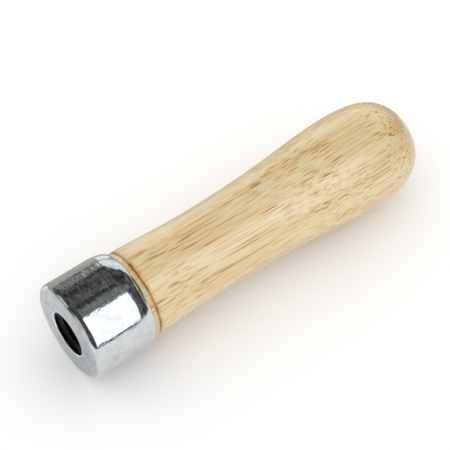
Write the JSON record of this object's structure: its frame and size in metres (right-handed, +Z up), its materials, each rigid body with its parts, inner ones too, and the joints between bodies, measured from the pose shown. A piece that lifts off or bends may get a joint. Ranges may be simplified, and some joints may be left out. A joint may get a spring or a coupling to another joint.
{
  "type": "screw-on rasp handle",
  "caption": "Turned hardwood handle with a rolled steel ferrule and a threaded steel insert that screws onto the tang of a farrier's rasp or file.",
  "frame": {"origin": "centre of the ferrule's flat front face, where the rasp's tang enters", "axes": "+X along the handle's axis from the ferrule's front face to the butt, +Z up when it lies on its side"},
  "size_m": [0.127, 0.0324, 0.0324],
  "materials": {
    "lacquered_hardwood": "blond open-grained hardwood, turned, sanded and clear lacquered",
    "plated_steel": "deep-drawn steel sheet, bright zinc plated",
    "hardened_steel": "hardened and blackened, oily"
  },
  "bodies": {
    "root": {"grip": "lacquered_hardwood", "ferrule": "plated_steel", "thread_insert": "hardened_steel"}
  },
  "joints": []
}
